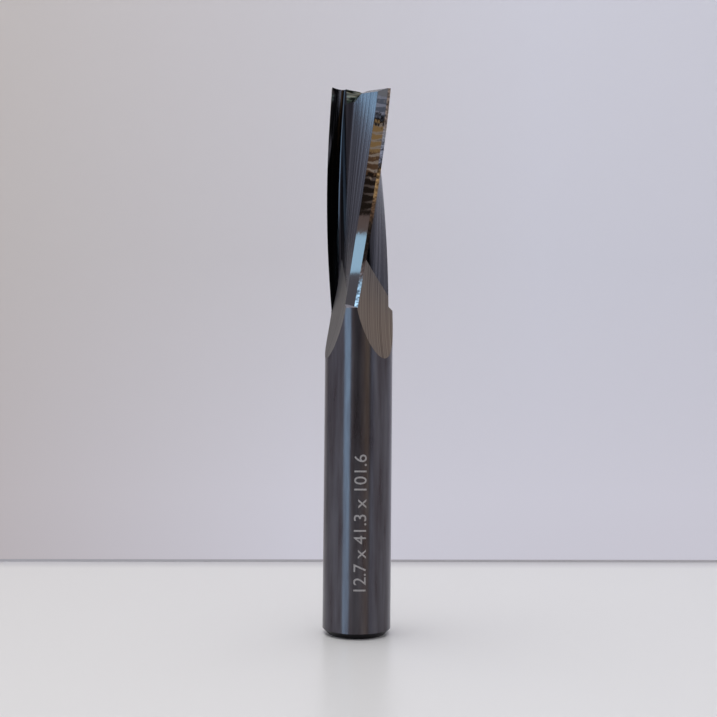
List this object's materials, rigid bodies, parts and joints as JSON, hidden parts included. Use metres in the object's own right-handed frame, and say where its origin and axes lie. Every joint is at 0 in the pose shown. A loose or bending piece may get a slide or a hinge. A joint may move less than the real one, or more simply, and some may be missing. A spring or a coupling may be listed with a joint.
{
  "type": "router bit",
  "caption": "Solid carbide up-cut spiral router bit: helical flutes with relieved cutting lands, a gashed cutting end and a plain round shank for a collet.",
  "frame": {"origin": "centre of the flat end of the shank, on the axis", "axes": "+Z along the axis from the shank end to the cutting end"},
  "size_m": [0.0126, 0.0126, 0.1016],
  "materials": {
    "ground_carbide": "satin"
  },
  "bodies": {
    "root": {"router_bit": "ground_carbide"}
  },
  "joints": []
}
